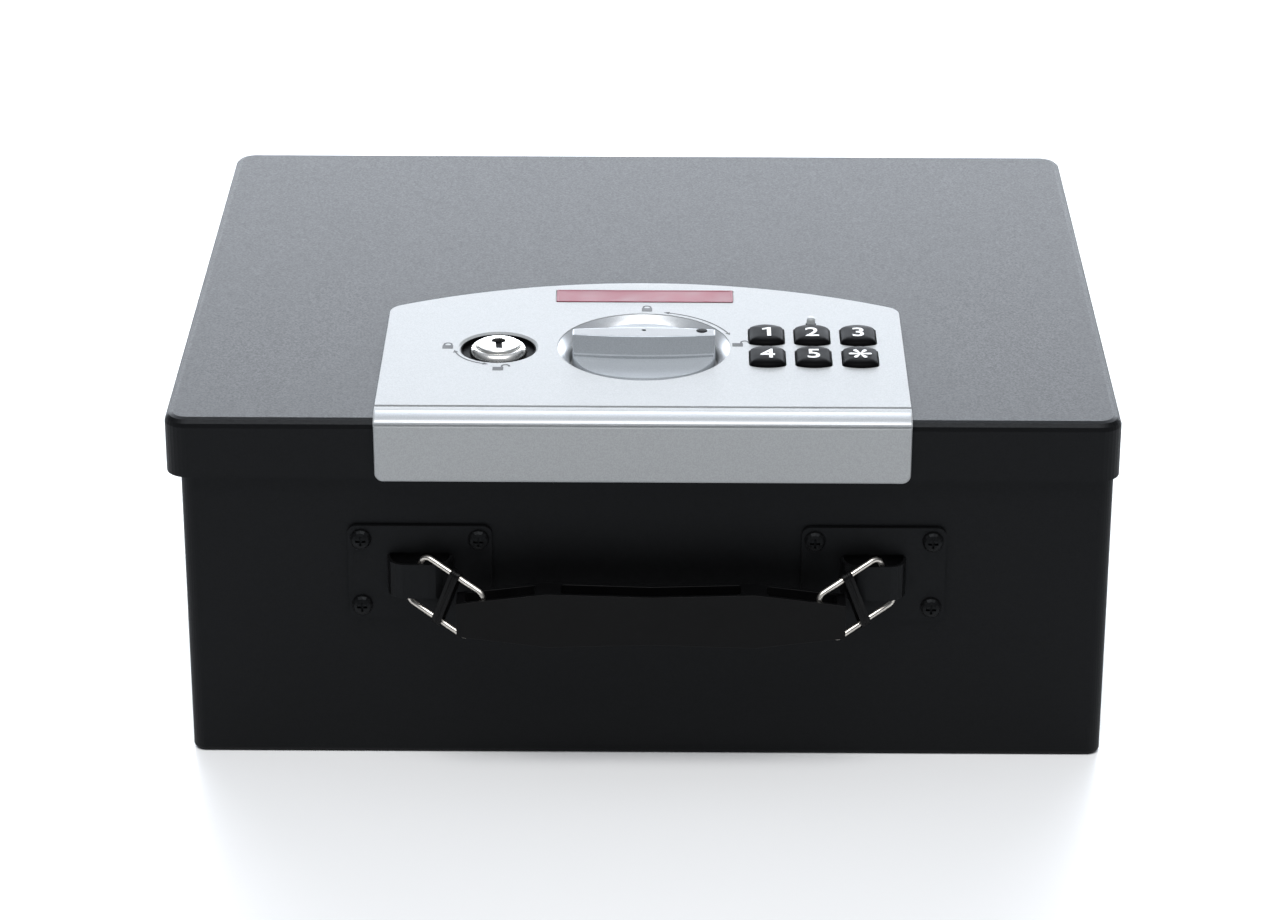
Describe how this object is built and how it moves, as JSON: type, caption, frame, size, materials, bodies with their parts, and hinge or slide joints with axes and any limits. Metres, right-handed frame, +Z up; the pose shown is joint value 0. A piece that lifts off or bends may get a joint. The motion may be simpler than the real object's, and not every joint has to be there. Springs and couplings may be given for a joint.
{
  "type": "fireproof document box",
  "caption": "Low fireproof document chest with hinged lid, keypad, key lock and bolt knob on a silver lock cover, and a wire-ringed carry handle.",
  "frame": {"origin": "centre of the floor face under the base shell", "axes": "+X to the right of someone facing the handle, +Y from the handle side to the hinge side, +Z up"},
  "size_m": [0.33, 0.2926, 0.1384],
  "materials": {
    "powder_black": "fine-textured powder coat",
    "silver_plastic": "silver metallic paint, satin",
    "chrome": "bright plated",
    "nickel_wire": "bright nickel plating",
    "zinc_steel": "zinc plated",
    "black_plastic": "moulded",
    "liner_grey": "moulded",
    "rubber": "matt",
    "plaster": "cast fireproof fill",
    "badge_red": "plain printed plate",
    "lens": "translucent grey",
    "board_green": "solder resist",
    "battery_blue": "plain printed sleeve"
  },
  "bodies": {
    "base": {"base_shell": "powder_black", "base_insulation": "plaster", "base_liner": "liner_grey", "base_gasket": "rubber", "strike_plate": "zinc_steel", "hinge_base_leaf_left": "powder_black", "hinge_base_leaf_right": "powder_black", "hinge_pin_left": "zinc_steel", "hinge_pin_right": "zinc_steel", "handle_plate_left": "powder_black", "handle_plate_right": "powder_black", "handle_screw_1": "powder_black", "handle_screw_2": "powder_black", "handle_screw_3": "powder_black", "handle_screw_4": "powder_black", "handle_screw_5": "powder_black", "handle_screw_6": "powder_black", "handle_screw_7": "powder_black", "handle_screw_8": "powder_black"},
    "lid": {"lid_shell": "powder_black", "lid_insulation": "plaster", "lid_liner": "liner_grey", "hinge_lid_leaf_left": "powder_black", "hinge_lid_leaf_right": "powder_black", "lock_cover": "silver_plastic", "badge": "badge_red", "status_lens": "lens", "lock_chassis": "zinc_steel", "solenoid_coil": "zinc_steel", "lock_barrel": "chrome", "barrel_nut": "zinc_steel", "keypad_board": "board_green", "works_cover": "black_plastic", "battery_tray": "black_plastic", "battery_1": "battery_blue", "battery_2": "battery_blue", "battery_3": "battery_blue", "battery_4": "battery_blue"},
    "knob": {"knob": "silver_plastic", "knob_spindle": "zinc_steel", "drive_crank": "zinc_steel"},
    "bolt": {"bolt_plate": "zinc_steel"},
    "plunger": {"solenoid_plunger": "nickel_wire"},
    "key_lock": {"key_plug": "chrome", "key_cam": "zinc_steel"},
    "button_1_body": {"button_1": "rubber"},
    "button_2_body": {"button_2": "rubber"},
    "button_3_body": {"button_3": "rubber"},
    "button_4_body": {"button_4": "rubber"},
    "button_5_body": {"button_5": "rubber"},
    "button_star_body": {"button_star": "rubber"},
    "battery_door_body": {"battery_door": "black_plastic"},
    "grip": {"handle_grip": "black_plastic"},
    "ring_left": {"handle_ring_left": "nickel_wire", "ring_clip_left": "black_plastic"},
    "ring_right": {"handle_ring_right": "nickel_wire", "ring_clip_right": "black_plastic"}
  },
  "joints": [
    {"name": "lid_hinge", "type": "hinge", "parent": "base", "child": "lid", "pos_m": [0, 0.1372, 0.1093], "axis": [-1, 0, 0], "range_deg": [0, 100]},
    {"name": "knob_turn", "type": "hinge", "parent": "lid", "child": "knob", "pos_m": [-0.0015, -0.0722, 0.131], "axis": [0, 0, 1], "range_deg": [0, 90]},
    {"name": "bolt_slide", "type": "slide", "parent": "lid", "child": "bolt", "axis": [0, -1, 0], "range_m": [0, 0.01]},
    {"name": "plunger_drop", "type": "slide", "parent": "lid", "child": "plunger", "axis": [0, 0, -1], "range_m": [0, 0.004], "stiffness_N_per_m": 100, "springref_m": -0.002},
    {"name": "key_turn", "type": "hinge", "parent": "lid", "child": "key_lock", "pos_m": [-0.0533, -0.0735, 0.134], "axis": [0, 0, -1], "range_deg": [0, 90]},
    {"name": "button_1_press", "type": "slide", "parent": "lid", "child": "button_1_body", "axis": [0, 0, -1], "range_m": [0, 0.0012], "stiffness_N_per_m": 400},
    {"name": "button_2_press", "type": "slide", "parent": "lid", "child": "button_2_body", "axis": [0, 0, -1], "range_m": [0, 0.0012], "stiffness_N_per_m": 400},
    {"name": "button_3_press", "type": "slide", "parent": "lid", "child": "button_3_body", "axis": [0, 0, -1], "range_m": [0, 0.0012], "stiffness_N_per_m": 400},
    {"name": "button_4_press", "type": "slide", "parent": "lid", "child": "button_4_body", "axis": [0, 0, -1], "range_m": [0, 0.0012], "stiffness_N_per_m": 400},
    {"name": "button_5_press", "type": "slide", "parent": "lid", "child": "button_5_body", "axis": [0, 0, -1], "range_m": [0, 0.0012], "stiffness_N_per_m": 400},
    {"name": "button_star_press", "type": "slide", "parent": "lid", "child": "button_star_body", "axis": [0, 0, -1], "range_m": [0, 0.0012], "stiffness_N_per_m": 400},
    {"name": "battery_door_slide", "type": "slide", "parent": "lid", "child": "battery_door_body", "axis": [1, 0, 0], "range_m": [0, 0.055]},
    {"name": "handle_lift", "type": "slide", "parent": "base", "child": "grip", "axis": [0, 0, 1], "range_m": [0, 0.015]},
    {"name": "ring_left_swing", "type": "hinge", "parent": "base", "child": "ring_left", "pos_m": [-0.0804, -0.136, 0.0726], "axis": [-0.4848, -0.8746, 0], "range_deg": [0, 34]},
    {"name": "ring_right_swing", "type": "hinge", "parent": "base", "child": "ring_right", "pos_m": [0.0836, -0.136, 0.0726], "axis": [-0.4848, 0.8746, 0], "range_deg": [0, 34]}
  ],
  "couplings": [
    {"joint": "knob_turn", "follows": "bolt_slide", "rad_per_m": 157.08},
    {"joint": "ring_left_swing", "follows": "handle_lift", "rad_per_m": 38.6},
    {"joint": "ring_right_swing", "follows": "handle_lift", "rad_per_m": 38.6}
  ]
}
